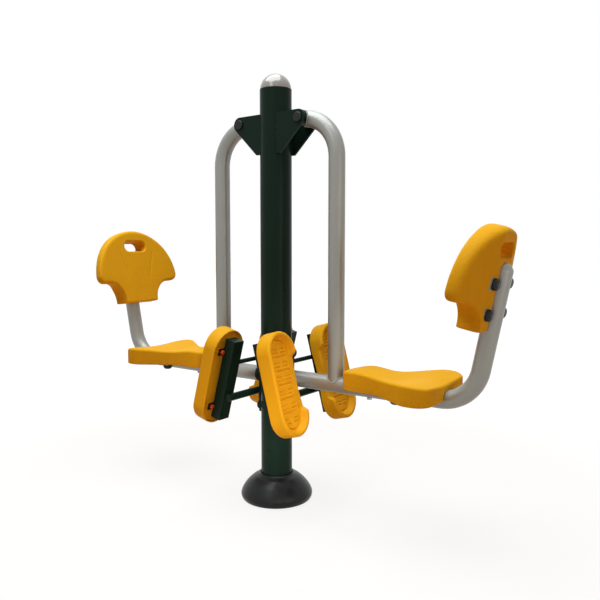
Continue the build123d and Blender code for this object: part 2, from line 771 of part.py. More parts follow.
# Foot tray: a shell open at the back, with a rim that is cut away on the inner side
tray_floor_h = tray_h - tray_recess
tray_under_h = tray_floor_h - tray_floor_t
scoop_r = ((tray_scoop_len / 2) ** 2 + tray_scoop**2) / (2 * tray_scoop)
scoop_at = (tray_gate_shift, tray_scoop - tray_w / 2 - scoop_r)
with BuildPart() as tray:
    with BuildSketch(tray_plane):
        SlotOverall(tray_len, tray_w)
        with Locations(scoop_at):
            Circle(scoop_r, mode=Mode.SUBTRACT)
    extrude(amount=tray_h)
    fillet(tray.faces().sort_by(Axis(tray_plane.origin, tray_plane.z_dir))[-1].edges(), tray_edge_r)
    with BuildSketch(tray_plane.offset(tray_floor_h)):
        SlotOverall(tray_len - 2 * tray_rim_w, tray_w - 2 * tray_rim_w)
    extrude(amount=tray_recess, taper=-tray_rim_taper, mode=Mode.SUBTRACT)
    with BuildSketch(tray_plane.offset(tray_floor_h)):
        with Locations((tray_gate_shift, -tray_w / 2)):
            RectangleRounded(tray_gate_len, tray_w - tray_rim_w, tray_gate_r)
    extrude(amount=tray_h, mode=Mode.SUBTRACT)
    with BuildSketch(tray_plane):
        SlotOverall(tray_len - 2 * tray_wall, tray_w - 2 * tray_wall)
        with Locations(scoop_at):
            Circle(scoop_r + tray_wall, mode=Mode.SUBTRACT)
        with Locations(*tray_bolts_at):
            Circle(tray_boss_d / 2, mode=Mode.SUBTRACT)
    extrude(amount=tray_under_h, mode=Mode.SUBTRACT)
    with BuildSketch(tray_plane):
        with Locations(*tray_bolts_at):
            Circle(tray_bolt_d / 2 + fit_gap)
    extrude(amount=tray_bolt_len, mode=Mode.SUBTRACT)
save_corners(tray.part, "foot_tray")

# Tray bolts from behind, with plastic caps on their heads
tray_bolt_planes = [
    Plane(tray_plane.from_local_coords((s, y, -tray_lug_t)), x_dir=tray_plane.x_dir, z_dir=-tray_plane.z_dir)
    for s, y in tray_bolts_at
]
with BuildPart() as tray_bolt:
    Cylinder(tray_bolt_head_d / 2, tray_bolt_head_t, align=base_align)
    Cylinder(tray_bolt_d / 2, tray_bolt_len, align=top_align)
tray_cap = cover_cap(
    tray_cap_d, tray_cap_t, tray_bolt_head_d + 2 * fit_gap, tray_bolt_head_t + fit_gap, tray_cap_t / 4
)
with BuildPart() as tray_bolts:
    add(group(tray_bolt.part, tray_bolt_planes))
    mirror(about=Plane.XZ)
save_both(tray_bolts.part, "tray_bolts")
with BuildPart() as tray_bolt_caps:
    add(group(tray_cap, tray_bolt_planes))
    mirror(about=Plane.XZ)
save_both(tray_bolt_caps.part, "tray_bolt_caps")
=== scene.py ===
"""Looks of the double seated leg press: mouldings, treads, weld beads and finishes around its frame.

Sizes are millimetres in the classes and metres in the meshes and in the studio. +Z is up and +X points to
the right seat.
"""

import json
import logging
import math
from collections.abc import Sequence
from dataclasses import dataclass
from enum import Enum

import bmesh
import bpy
import numpy as np
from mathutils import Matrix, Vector
from numpy.typing import NDArray


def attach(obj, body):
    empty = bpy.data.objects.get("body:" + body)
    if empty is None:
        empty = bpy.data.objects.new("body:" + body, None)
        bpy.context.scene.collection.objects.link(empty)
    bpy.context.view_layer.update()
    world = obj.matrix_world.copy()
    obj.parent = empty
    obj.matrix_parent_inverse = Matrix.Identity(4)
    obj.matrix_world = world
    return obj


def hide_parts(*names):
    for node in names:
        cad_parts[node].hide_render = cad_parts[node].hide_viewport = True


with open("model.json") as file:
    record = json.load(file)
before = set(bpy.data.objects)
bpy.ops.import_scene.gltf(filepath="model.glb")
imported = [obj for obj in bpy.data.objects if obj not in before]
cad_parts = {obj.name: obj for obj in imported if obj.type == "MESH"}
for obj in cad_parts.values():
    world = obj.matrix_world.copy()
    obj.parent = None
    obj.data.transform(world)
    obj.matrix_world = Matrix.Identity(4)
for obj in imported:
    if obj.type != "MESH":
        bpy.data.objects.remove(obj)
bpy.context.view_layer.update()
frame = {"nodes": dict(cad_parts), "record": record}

Array = NDArray[np.float64]
Sheet = tuple[Array, NDArray[np.int64]]
Pair = tuple[float, float]
Points = Sequence[Pair]
Triple = tuple[float, float, float]
Colour = tuple[float, float, float, float]

LOG = logging.getLogger("leg_press")
MM = 0.001
SHARP_ANGLE = math.radians(42.0)
MERGE_M = 2e-6
STAND = "stand"
WHITE: Colour = (1.0, 1.0, 1.0, 1.0)
# Values of the noise between which nearly all of its patches lie.
PATCH_LOW, PATCH_HIGH = 0.3, 0.7
QUARTERS = (0.25, 0.5, 0.75)
BOSS_TURNS = 32


class Side(Enum):
    """Half of the station, with its sign along X."""

    LEFT = -1
    RIGHT = 1

    @property
    def body(self) -> str:
        """Name of the swinging body on this side."""
        return f"{self.name.lower()}_seat_arm"

    def node(self, name: str) -> str:
        """Name of a CAD node on this side."""
        return f"{self.name.lower()}_{name}"

    def placed(self, sheets: list[Sheet]) -> list[Sheet]:
        """Sheets of the right side, mirrored for the left."""
        return [mirrored(sheet, 0) for sheet in sheets] if self.value < 0 else sheets


class End(Enum):
    """Front or rear of the station, with its sign along Y."""

    FRONT = -1
    REAR = 1

    def placed(self, sheets: list[Sheet]) -> list[Sheet]:
        """Sheets of the front, mirrored for the rear."""
        return [mirrored(sheet, 1) for sheet in sheets] if self.value > 0 else sheets


# Colours and materials


def linear(code: str) -> Colour:
    """Turn an sRGB hex code into a linear colour.

    Args:
        code: six hex digits, with or without a leading hash.

    Returns:
        Red, green, blue and an alpha of one.
    """
    code = code.lstrip("#")
    parts = np.array([int(code[i:i + 2], 16) for i in (0, 2, 4)]) / 255.0
    lin = np.where(parts <= 0.04045, parts / 12.92, ((parts + 0.055) / 1.055) ** 2.4)
    return (float(lin[0]), float(lin[1]), float(lin[2]), 1.0)


def put(
    tree: bpy.types.NodeTree, kind: str, inputs: dict[str | int, object] | None = None, **settings: object
) -> bpy.types.Node:
    """Add one node with its settings, its values and its links.

    Args:
        tree: node tree that takes the node.
        kind: Blender's type name of the node.
        inputs: a value, or an output socket to link from, for each input socket.
        settings: properties of the node itself.

    Returns:
        The new node.
    """
    node = tree.nodes.new(kind)
    for key, value in settings.items():
        setattr(node, key, value)
    for key, value in (inputs or {}).items():
        if isinstance(value, bpy.types.NodeSocket):
            tree.links.new(value, node.inputs[key])
        else:
            node.inputs[key].default_value = value
    return node


@dataclass(frozen=True)
class Finish:
    """One real material: its colours, its gloss and the marks its making left on it.

    Two colours mottle over patches of mottle_mm. The roughness wanders by spread over the same
    patches. A grain of grain_mm stands relief_mm deep in the bump.
    """

    name: str
    slot: str
    base: str
    tone: str
    roughness: float
    spread: float
    mottle_mm: float
    grain_mm: float
    relief_mm: float
    metallic: float = 0.0
    specular: float = 0.5

    def material(self) -> bpy.types.Material:
        """Build the node material, once for each finish.

        A broad noise mixes the two colours and moves the roughness. A finer one is the height of the bump.

        Returns:
            The material.
        """
        found = bpy.data.materials.get(self.name)
        if found:
            return found
        made = bpy.data.materials.new(self.name)
        made.use_nodes = True
        tree = made.node_tree
        tree.nodes.clear()
        place = put(tree, "ShaderNodeTexCoord").outputs["Object"]
        mottle = {"Vector": place, "Scale": 1.0 / (self.mottle_mm * MM), "Detail": 3.0}
        patches = put(tree, "ShaderNodeTexNoise", mottle).outputs["Fac"]
        colours = {"Factor": patches, 6: linear(self.base), 7: linear(self.tone)}
        colour = put(tree, "ShaderNodeMix", colours, data_type="RGBA").outputs[2]
        wander = {"Value": patches, "From Min": PATCH_LOW, "From Max": PATCH_HIGH}
        wander |= {"To Min": self.roughness - self.spread, "To Max": self.roughness + self.spread}
        gloss = put(tree, "ShaderNodeMapRange", wander).outputs["Result"]
        fine = {"Vector": place, "Scale": 1.0 / (self.grain_mm * MM), "Detail": 1.0}
        grain = put(tree, "ShaderNodeTexNoise", fine).outputs["Fac"]
        relief = {"Height": grain, "Distance": self.relief_mm * MM, "Strength": 1.0}
        bump = put(tree, "ShaderNodeBump", relief).outputs["Normal"]
        surface = {"Base Color": colour, "Roughness": gloss, "Normal": bump, "Metallic": self.metallic}
        surface["Specular IOR Level"] = self.specular
        shader = put(tree, "ShaderNodeBsdfPrincipled", surface)
        put(tree, "ShaderNodeOutputMaterial", {"Surface": shader.outputs["BSDF"]})
        return made


# Rotationally moulded polyethylene: matt, with the sandy grain of the mould drawn coarse enough to show.
YELLOW = Finish(
    "moulded_polyethylene_yellow", "yellow_plastic", "#F3BA20", "#EDB222",
    roughness=0.56, spread=0.05, mottle_mm=90.0, grain_mm=8.0, relief_mm=1.0, specular=0.05,
)
# Injection moulded polyethylene of the trays: the same yellow, smooth enough for a crisp tread.
TRAY_YELLOW = Finish(
    "moulded_polyethylene_tray", "yellow_plastic", "#F3BA20", "#EDB222",
    roughness=0.5, spread=0.04, mottle_mm=90.0, grain_mm=4.0, relief_mm=0.08, specular=0.08,
)
# Polyester powder coat on steel: even and satin, with a faint orange peel drawn coarse enough to show.
GREEN = Finish(
    "powder_coat_dark_green", "dark_green", "#1A3129", "#162B24",
    roughness=0.3, spread=0.05, mottle_mm=70.0, grain_mm=4.0, relief_mm=0.04, specular=0.07,
)
# Silver powder coat on bent tube: a little metal flake under a smooth satin gloss.
SILVER = Finish(
    "powder_coat_silver", "tube_grey", "#A0A5A3", "#9BA09E", metallic=0.38, specular=0.4,
    roughness=0.4, spread=0.03, mottle_mm=60.0, grain_mm=9.0, relief_mm=0.002,
)
# Pale silver paint on the cap of the post: smooth and shiny, with a clear highlight.
CAP_SILVER = Finish(
    "paint_pale_silver", "cap_silver", "#A3A4A3", "#9B9B99", metallic=0.2,
    roughness=0.17, spread=0.03, mottle_mm=60.0, grain_mm=9.0, relief_mm=0.006,
)
# Injection moulded polypropylene: near black, with a half gloss and a fine spark grain.
BOOT_BLACK = Finish(
    "moulded_polypropylene_black", "black_plastic", "#181D1E", "#1F2426",
    roughness=0.33, spread=0.07, mottle_mm=45.0, grain_mm=2.4, relief_mm=0.04, specular=0.22,
)
# Injection moulded nylon of the bolt caps: charcoal or orange, smooth, with a soft highlight.
CAP_BLACK = Finish(
    "moulded_nylon_charcoal", "charcoal_plastic", "#171B1D", "#1E2325",
    roughness=0.38, spread=0.06, mottle_mm=12.0, grain_mm=1.6, relief_mm=0.03, specular=0.25,
)
CAP_ORANGE = Finish(
    "moulded_nylon_orange", "orange_plastic", "#D9481C", "#C93E18",
    roughness=0.32, spread=0.05, mottle_mm=8.0, grain_mm=1.2, relief_mm=0.03,
)
# Zinc plating, hot dip zinc and plain bronze: bare metal with a mottled gloss.
ZINC = Finish(
    "zinc_plated_steel", "steel", "#A9AAAB", "#929496", metallic=1.0,
    roughness=0.34, spread=0.1, mottle_mm=6.0, grain_mm=1.0, relief_mm=0.03,
)
GALVANISED = Finish(
    "hot_dip_zinc", "galvanised", "#A8ABAD", "#8F9396", metallic=1.0,
    roughness=0.42, spread=0.12, mottle_mm=14.0, grain_mm=3.0, relief_mm=0.06,
)
BRONZE = Finish(
    "turned_bronze", "bearing_bronze", "#B88A4A", "#9C733B", metallic=1.0,
    roughness=0.35, spread=0.08, mottle_mm=6.0, grain_mm=0.8, relief_mm=0.03,
)
# Moulded rubber of the bumpers: dull and nearly black.
RUBBER = Finish(
    "moulded_rubber", "rubber", "#1A1B1B", "#222323",
    roughness=0.7, spread=0.08, mottle_mm=10.0, grain_mm=1.4, relief_mm=0.08, specular=0.3,
)

FINISHES = {finish.slot: finish for finish in (
    YELLOW, GREEN, SILVER, CAP_SILVER, BOOT_BLACK, CAP_BLACK, CAP_ORANGE, ZINC, GALVANISED, BRONZE, RUBBER
)}


# Curves and surfaces


def ease(x: Array) -> Array:
    """Smooth step: 3 x squared less 2 x cubed, with x held from 0 to 1."""
    x = np.clip(x, 0.0, 1.0)
    return x * x * (3.0 - 2.0 * x)


def rounded_path(corners: Points, radii: Sequence[float], steps: int = 24) -> Array:
    """Straight runs through corners, with an arc at each inner corner.

    An arc of radius r touches both runs at r over the tangent of half the corner's angle.

    Args:
        corners: points of the path.
        radii: arc radius at each inner corner.
        steps: points in each arc.

    Returns:
        Points of the path, one row each.
    """
    at = np.array(corners, float)
    rows = [at[:1]]
    for before, here, after, radius in zip(at, at[1:], at[2:], radii):
        a = (before - here) / np.linalg.norm(before - here)
        b = (after - here) / np.linalg.norm(after - here)
        half = math.acos(float(np.clip(a @ b, -1.0, 1.0))) / 2.0
        turn = math.pi - 2.0 * half
        middle = here + (a + b) / np.linalg.norm(a + b) * radius / math.sin(half)
        start = here + a * radius / math.tan(half) - middle
        end = here + b * radius / math.tan(half) - middle
        across = (end - start * math.cos(turn)) / math.sin(turn)
        angle = np.linspace(0.0, turn, steps)[:, None]
        rows.append(middle + start * np.cos(angle) + across * np.sin(angle))
    return np.vstack(rows + [at[-1:]])


def smooth_curve(points: Points, steps: int = 16) -> Array:
    """Curve through points: on each run a cubic whose end slopes are half the chord of the neighbours.

    Args:
        points: points that the curve goes through.
        steps: points on each run.

    Returns:
        Points of the curve, one row each.
    """
    at = np.array(points, float)
    p = np.vstack([2 * at[0] - at[1], at, 2 * at[-1] - at[-2]])
    a, b, c, d = p[:-3], p[1:-2], p[2:-1], p[3:]
    t = np.linspace(0.0, 1.0, steps, endpoint=False)[:, None, None]
    runs = 0.5 * (2 * b + (c - a) * t + (2 * a - 5 * b + 4 * c - d) * t**2 + (3 * b - a - 3 * c + d) * t**3)
    return np.vstack([runs.transpose(1, 0, 2).reshape(-1, at.shape[1]), at[-1:]])


def evenly(path: Array, count: int) -> Array:
    """The same path with points at equal lengths along it.

    Args:
        path: points of the path, one row each.
        count: wanted number of points.

    Returns:
        The new points.
    """
    length = np.concatenate([[0.0], np.cumsum(np.linalg.norm(np.diff(path, axis=0), axis=1))])
    at = np.linspace(0.0, length[-1], count)
    return np.stack([np.interp(at, length, path[:, k]) for k in range(path.shape[1])], axis=1)


def grid(points: Array, ring: bool = False, loop: bool = False) -> Sheet:
    """Quads over a grid of points.

    Args:
        points: array of rows, columns and three coordinates.
        ring: join the last row to the first.
        loop: join the last column to the first.

    Returns:
        The points as one list, and four corners for each face.
    """
    rows, cols = points.shape[:2]
    r = np.arange(rows if ring else rows - 1)[:, None]
    c = np.arange(cols if loop else cols - 1)[None, :]
    below, right = (r + 1) % rows, (c + 1) % cols
    faces = np.stack([r * cols + c, r * cols + right, below * cols + right, below * cols + c], axis=-1)
    return points.reshape(-1, 3), faces.reshape(-1, 4)


def revolve(profile: Array, centre: Array, turns: int) -> Sheet:
    """Closed surface of a profile of radius and height, turned about an upright axis.

    Args:
        profile: rows of radius and height.
        centre: where height and radius are zero.
        turns: divisions round the axis.

    Returns:
        The sheet.
    """
    angle = np.linspace(0.0, 2.0 * math.pi, turns, endpoint=False)
    spoke = np.stack([np.cos(angle), np.sin(angle), np.zeros(turns)], axis=1)
    up = np.array((0.0, 0.0, 1.0))
    return grid(centre + profile[:, :1, None] * spoke + profile[:, 1:, None] * up, loop=True)


def sweep(path: Array, radius: Array, sides: int, closed: bool) -> Sheet:
    """Tube along a path: at each point a circle across the tangent.

    The circle's first axis is square to the tangent and to the world axis that the path follows least.

    Args:
        path: rows of three coordinates.
        radius: tube radius at each point.
        sides: divisions round the tube.
        closed: join the end of the path to its start.

    Returns:
        The sheet, with its ends drawn to a point where it is open.
    """
    if closed:
        tangent = np.roll(path, -1, 0) - np.roll(path, 1, 0)
    else:
        tangent = np.gradient(path, axis=0)
        radius = radius * np.concatenate([[0.0], np.ones(len(path) - 2), [0.0]])
    tangent /= np.linalg.norm(tangent, axis=1)[:, None]
    guide = np.eye(3)[np.argmin(np.abs(tangent).max(0))]
    first = np.cross(tangent, guide)
    first /= np.linalg.norm(first, axis=1)[:, None]
    second = np.cross(tangent, first)
    angle = np.linspace(0.0, 2.0 * math.pi, sides, endpoint=False)
    circle = np.cos(angle)[:, None] * first[:, None] + np.sin(angle)[:, None] * second[:, None]
    return grid(path[:, None] + radius[:, None, None] * circle, ring=closed, loop=True)


def boss(at: Pair, radius: float, low: float, high: float) -> Sheet:
    """Closed upright cylinder: a profile out along the bottom, up the wall and in along the top.

    Args:
        at: its place across.
        radius: its radius.
        low: height of its bottom.
        high: height of its top.

    Returns:
        The sheet.
    """
    profile = np.array([(0.0, low), (radius, low), (radius, high), (0.0, high)])
    return revolve(profile, np.array((*at, 0.0)), BOSS_TURNS)


def mirrored(sheet: Sheet, axis: int) -> Sheet:
    """The sheet seen in a mirror across one axis."""
    return sheet[0] * np.where(np.arange(3) == axis, -1.0, 1.0), sheet[1]


def joined(sheets: list[Sheet]) -> Sheet:
    """Several sheets as one list of points and faces."""
    starts = np.cumsum([0] + [len(points) for points, _ in sheets[:-1]])
    return np.vstack([p for p, _ in sheets]), np.vstack([f + start for (_, f), start in zip(sheets, starts)])


def make_piece(
    name: str, sheets: list[Sheet], finish: Finish, body: str, stands_for: tuple[str, ...] = ()
) -> bpy.types.Object:
    """Put sheets into one smooth, closed mesh that rides on a body.

    Args:
        name: name of the piece.
        sheets: surfaces in millimetres, in the frame of the CAD model.
        finish: material of the piece.
        body: CAD body that carries it.
        stands_for: CAD nodes that it hides.

    Returns:
        The new object.
    """
    points, faces = joined(sheets)
    mesh = bpy.data.meshes.new(name)
    mesh.from_pydata((points * MM).tolist(), [], faces.tolist())
    work = bmesh.new()
    work.from_mesh(mesh)
    bmesh.ops.remove_doubles(work, verts=work.verts, dist=MERGE_M)
    bmesh.ops.dissolve_degenerate(work, edges=work.edges, dist=MERGE_M)
    bmesh.ops.recalc_face_normals(work, faces=work.faces)
    work.to_mesh(mesh)
    work.free()
    mesh.polygons.foreach_set("use_smooth", np.ones(len(mesh.polygons), bool))
    mesh.set_sharp_from_angle(angle=SHARP_ANGLE)
    mesh.materials.append(finish.material())
    piece = bpy.data.objects.new(name, mesh)
    bpy.context.scene.collection.objects.link(piece)
    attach(piece, body)
    if stands_for:
        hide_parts(*stands_for)
    LOG.info("%s: %d faces on %s", name, len(mesh.polygons), body)
    return piece


@dataclass(frozen=True)
class Place:
    """A set of axes in the CAD frame: an origin and three unit rows, in millimetres."""

    origin: Triple
    axes: tuple[Triple, Triple, Triple]

    def world(self, sheet: Sheet) -> Sheet:
        """The sheet moved from these axes into the frame."""
        return np.array(self.origin) + sheet[0] @ np.array(self.axes), sheet[1]


# Sub-assemblies


@dataclass
class Seat:
    """Saddle shaped seat: a hollow moulding open below, with an arch at each end for the tube.

    Points are along the seat from its nose, across it, and up from its lower rim.
    """

    start_x: float = 305.0
    bottom_z: float = 457.0
    length: float = 362.0
    nose_w: float = 150.0
    nose_r: float = 70.0
    waist: float = 152.0
    waist_r: float = 90.0
    wide_w: float = 322.0
    wide_start: float = 285.0
    wide_r: float = 60.0
    heel_r: float = 46.0
    spine_end: float = 80.0
    wall: float = 5.0
    edge_r: float = 9.0
    foot_r: float = 3.0
    crown_line: Points = (
        (-40.0, 42.0), (0.0, 55.0), (70.0, 65.5), (170.0, 55.5), (300.0, 61.0), (362.0, 53.0), (400.0, 44.0),
    )
    dish: float = 7.5
    dish_start: float = 130.0
    dish_run: float = 110.0
    dish_level: float = 0.6
    tube_z: float = 456.5
    arch_r: float = 30.5
    boss_r: float = 17.0
    boss_bite: float = 1.0
    lug_bosses: Points = ((214.0, -56.0), (214.0, 56.0))
    tube_boss: Pair = (88.0, 0.0)
    tube_top: float = 28.5
    around: int = 220
    edge_rings: int = 9
    top_rings: int = 25

    def outline(self) -> Array:
        """Half of the outline, from the nose to the middle of the rear edge.

        Returns:
            Points along and across, one row each.
        """
        corners = [
            (0.0, 0.0), (0.0, self.nose_w / 2), (self.waist, self.nose_w / 2),
            (self.wide_start, self.wide_w / 2), (self.length, self.wide_w / 2), (self.length, 0.0),
        ]
        radii = [self.nose_r, self.waist_r, self.wide_r, self.heel_r]
        return evenly(rounded_path(corners, radii), self.around)

    def crown(self, flat: Array) -> Array:
        """Height of the top: a curve along the seat through nose, dip and rear, dished a little across.

        Args:
            flat: points along and across.

        Returns:
            Height at each point.
        """
        line = smooth_curve(self.crown_line)
        hollow = self.dish * ease((flat[:, 0] - self.dish_start) / self.dish_run)
        rise = ease(np.abs(flat[:, 1]) / (self.wide_w / 2)) - self.dish_level
        return np.interp(flat[:, 0], line[:, 0], line[:, 1]) + hollow * rise

    def half(self) -> Sheet:
        """Rings from the roof inside, down the wall, round the rim, up the side and over the top.

        Each ring is the outline moved towards the middle line by a distance, at a height of its own.

        Returns:
            The half on one side of the middle line.
        """
        edge = self.outline()
        along = np.clip(edge[:, 0], self.nose_r, self.length - self.spine_end)
        spine = np.column_stack([along, np.zeros(len(edge))])
        inward = spine - edge
        reach = np.maximum(np.linalg.norm(inward, axis=1), 1.0)[:, None]
        arch = self.tube_z - self.bottom_z + np.sqrt(np.maximum(self.arch_r**2 - edge[:, 1] ** 2, 0.0))
        rim = np.maximum(arch, 0.0)
        foot = rim + self.foot_r
        lip = self.crown(edge) - self.edge_r
        turn = np.linspace(0.0, math.pi / 2, self.edge_rings)

        def moved(inset: float) -> Array:
            """The outline moved towards the middle line."""
            return edge + inward / reach * np.minimum(inset, reach)

        def ring(inset: float, height: Array) -> Array:
            """The moved outline at a height."""
            return np.column_stack([moved(inset), height])

        def under_crown(flat: Array, lower: float) -> Array:
            """Points at the crown's height less a distance."""
            return np.column_stack([flat, self.crown(flat) - lower])

        def top(share: float, lower: float) -> Array:
            """A ring part of the way from the rounded edge to the middle line."""
            return under_crown(moved(self.edge_r) + (spine - moved(self.edge_r)) * share, lower)

        rows = [top(share, self.wall) for share in (1.0, *QUARTERS[::-1], 0.0)]
        rows += [ring(self.wall, lip - self.wall), ring(self.wall, foot)]
        for a in turn[::2]:
            rows.append(ring(self.foot_r * (1 - math.sin(a)), rim + self.foot_r * (1 - math.cos(a))))
        rows += [ring(0.0, foot + (lip - foot) * share) for share in (*QUARTERS, 1.0)]
        for a in turn[1:]:
            rows.append(under_crown(moved(self.edge_r * (1 - math.cos(a))), self.edge_r * (1 - math.sin(a))))
        rows += [top(share, 0.0) for share in np.linspace(0.0, 1.0, self.top_rings)[1:]]
        return grid(np.stack(rows))

    def bosses(self) -> list[Sheet]:
        """Bosses that stand on the lugs and on the tube, up into the roof.

        Returns:
            One sheet for each boss.
        """
        feet = [(at, 0.0) for at in self.lug_bosses] + [(self.tube_boss, self.tube_top)]
        roofs = self.crown(np.array([at for at, _ in feet])) - self.wall + self.boss_bite
        return [boss(at, self.boss_r, low, float(roof)) for (at, low), roof in zip(feet, roofs)]

    def build(self, side: Side) -> bpy.types.Object:
        """Both halves and the bosses as one piece.

        Args:
            side: side of the station.

        Returns:
            The seat.
        """
        half = self.half()
        place = Place((self.start_x, 0.0, self.bottom_z), ((1.0, 0.0, 0.0), (0.0, 1.0, 0.0), (0.0, 0.0, 1.0)))
        whole = side.placed([place.world(sheet) for sheet in (half, mirrored(half, 1), *self.bosses())])
        return make_piece(side.node("seat_moulding"), whole, YELLOW, side.body, (side.node("seat"),))


@dataclass
class Backrest:
    """Fan shaped backrest: wings that tilt forward, one deep round rim and a hand slot right through.

    Points are across the backrest, up along it from the corner of the tube, and forward from the upright.
    """

    corner_x: float = 752.0
    corner_z: float = 456.5
    lean: float = math.radians(11.3)
    foot: float = 229.0
    foot_r: float = 6.0
    top: float = 538.0
    wing_h: float = 314.0
    wing_w: float = 411.0
    neck_w: float = 173.0
    cove_r: float = 74.0
    tip_r: float = 30.0
    front: float = 74.0
    front_tilt: float = 0.06
    fold_at: float = 62.0
    fold_h: float = 350.0
    fold_flare: float = 0.28
    fold_r: float = 5.0
    crease: float = 1.8
    crease_half: float = 3.5
    crease_low: float = 320.0
    crease_high: float = 455.0
    crease_run: float = 28.0
    rear_flat: float = 58.0
    rear_tilt: float = 0.27
    tilt_start: float = 245.0
    tilt_run: float = 80.0
    rim_neck: float = 6.0
    rim_front: float = 20.0
    rim_rear: float = 28.0
    rim_middle: float = 0.68
    rim_start: float = 285.0
    rim_run: float = 40.0
    rim_power: float = 3.2
    slot_w: float = 112.0
    slot_h: float = 45.0
    slot_at: float = 470.0
    slot_lip: float = 5.0
    around: int = 200
    fan_steps: int = 80
    tip_steps: int = 24
    slot_steps: int = 60
    dense_steps: int = 1200
    front_rings: int = 61
    rim_rings: int = 33
    rear_rings: int = 31
    lip_rings: int = 6

    def outline(self) -> Array:
        """Half of the outline, from the top of the fan round the wing to the middle of the foot.

        The fan is one arc through the top and the wing's end. A round tip, a cove and the neck follow it.

        Returns:
            Points of width and height, one row each.
        """
        rise = self.top - self.wing_h
        fan_r = ((self.wing_w / 2) ** 2 + rise**2) / (2 * rise)
        fan_h = self.top - fan_r
        last = math.asin((self.wing_h - fan_h + self.tip_r) / (fan_r - self.tip_r))
        angle = np.linspace(math.pi / 2, last, self.fan_steps)
        fan = np.stack([fan_r * np.cos(angle), fan_h + fan_r * np.sin(angle)], axis=1)
        tip = fan[-1] - self.tip_r * np.array([math.cos(last), math.sin(last)])
        turn = np.linspace(last, -math.pi / 2, self.tip_steps)[1:]
        corner = tip + self.tip_r * np.stack([np.cos(turn), np.sin(turn)], axis=1)
        half_neck = self.neck_w / 2
        neck = rounded_path(
            [tuple(corner[-1]), (half_neck, self.wing_h), (half_neck, self.foot), (0.0, self.foot)],
            [self.cove_r, self.foot_r],
        )
        return np.vstack([fan, corner[:-1], neck])

    def slot(self, grow: float) -> Array:
        """Half of the hand slot, from the middle of its top round its end, grown all round.

        Args:
            grow: distance by which the slot is larger than its hole.

        Returns:
            Points of width and height, one row each.
        """
        r = self.slot_h / 2 + grow
        x = self.slot_w / 2 - self.slot_h / 2
        angle = np.linspace(math.pi / 2, -math.pi / 2, self.slot_steps)
        end = np.stack([x + r * np.cos(angle), self.slot_at + r * np.sin(angle)], axis=1)
        return np.vstack([[[0.0, self.slot_at + r]], end, [[0.0, self.slot_at - r]]])

    def bearing(self, path: Array) -> Array:
        """Angle of each point about the middle of the slot, from straight up."""
        return np.arctan2(path[:, 0], path[:, 1] - self.slot_at)

    def at_bearing(self, path: Array, angles: Array) -> Array:
        """Points of a path at given angles about the middle of the slot.

        Args:
            path: points of width and height.
            angles: angle of each wanted point.

        Returns:
            One point for each angle.
        """
        dense = evenly(path, self.dense_steps)
        own = self.bearing(dense)
        return np.stack([np.interp(angles, own, dense[:, k]) for k in range(2)], axis=1)

    def tilted(self, flat: Array, start: Array | float, slope: float) -> Array:
        """Rise of a wing panel: a slope from a line outwards, with a soft fold, gone at the neck.

        Args:
            flat: points of width and height.
            start: width at which the fold lies.
            slope: rise over width of the panel.

        Returns:
            Rise at each point.
        """
        beyond = self.fold_r * np.logaddexp(0.0, (np.abs(flat[:, 0]) - start) / self.fold_r)
        return slope * beyond * ease((flat[:, 1] - self.tilt_start) / self.tilt_run)

    def front_level(self, flat: Array) -> Array:
        """Front: flat in the middle, with a wing panel tilted forward beyond each flared fold.

        A bell shaped crease runs along the fold and fades at both ends.

        Args:
            flat: points of width and height.

        Returns:
            Level at each point.
        """
        h = flat[:, 1]
        fold = self.fold_at + np.maximum(h - self.fold_h, 0.0) * self.fold_flare
        fade = ease((h - self.crease_low) / self.crease_run) * ease((self.crease_high - h) / self.crease_run)
        crease = self.crease * fade * np.exp(-(((np.abs(flat[:, 0]) - fold) / self.crease_half) ** 2))
        return self.front + self.tilted(flat, fold, self.front_tilt) - crease

    def rear_level(self, flat: Array) -> Array:
        """Rear: flat behind the upright, with the wings tilted forward beyond it."""
        return self.tilted(flat, self.rear_flat, self.rear_tilt)

    def rim(self, edge: Array) -> tuple[list[Array], Array, Array]:
        """Rings round the rim, from the front to the rear.

        Across the rim the section is a super-ellipse: its inset and its level, each as a share of its
        own half axis and raised to the power, add up to one. The half axis behind is longer.

        Args:
            edge: the outline.

        Returns:
            The rings, and the lines inside the outline where the rim begins, in front and behind.
        """
        tangent = np.gradient(edge, axis=0)
        tangent[0], tangent[-1] = (1.0, 0.0), (-1.0, 0.0)
        tangent /= np.linalg.norm(tangent, axis=1)[:, None]
        inward = np.stack([tangent[:, 1], -tangent[:, 0]], axis=1)
        grown = ease((edge[:, 1] - self.rim_start) / self.rim_run)
        front = inward * (self.rim_neck + (self.rim_front - self.rim_neck) * grown)[:, None]
        rear = inward * (self.rim_neck + (self.rim_rear - self.rim_neck) * grown)[:, None]
        low, high = self.rear_level(edge), self.front_level(edge)
        middle = low + (high - low) * self.rim_middle
        rings = []
        for angle in np.linspace(math.pi / 2, -math.pi / 2, self.rim_rings)[1:]:
            deep = front if angle > 0 else rear
            flat = edge + deep * (1.0 - abs(math.cos(angle)) ** (2 / self.rim_power))
            face = self.front_level(flat) if angle > 0 else self.rear_level(flat)
            level = middle + (face - middle) * abs(math.sin(angle)) ** (2 / self.rim_power)
            rings.append(np.column_stack([flat, level]))
        return rings, edge + front, edge + rear

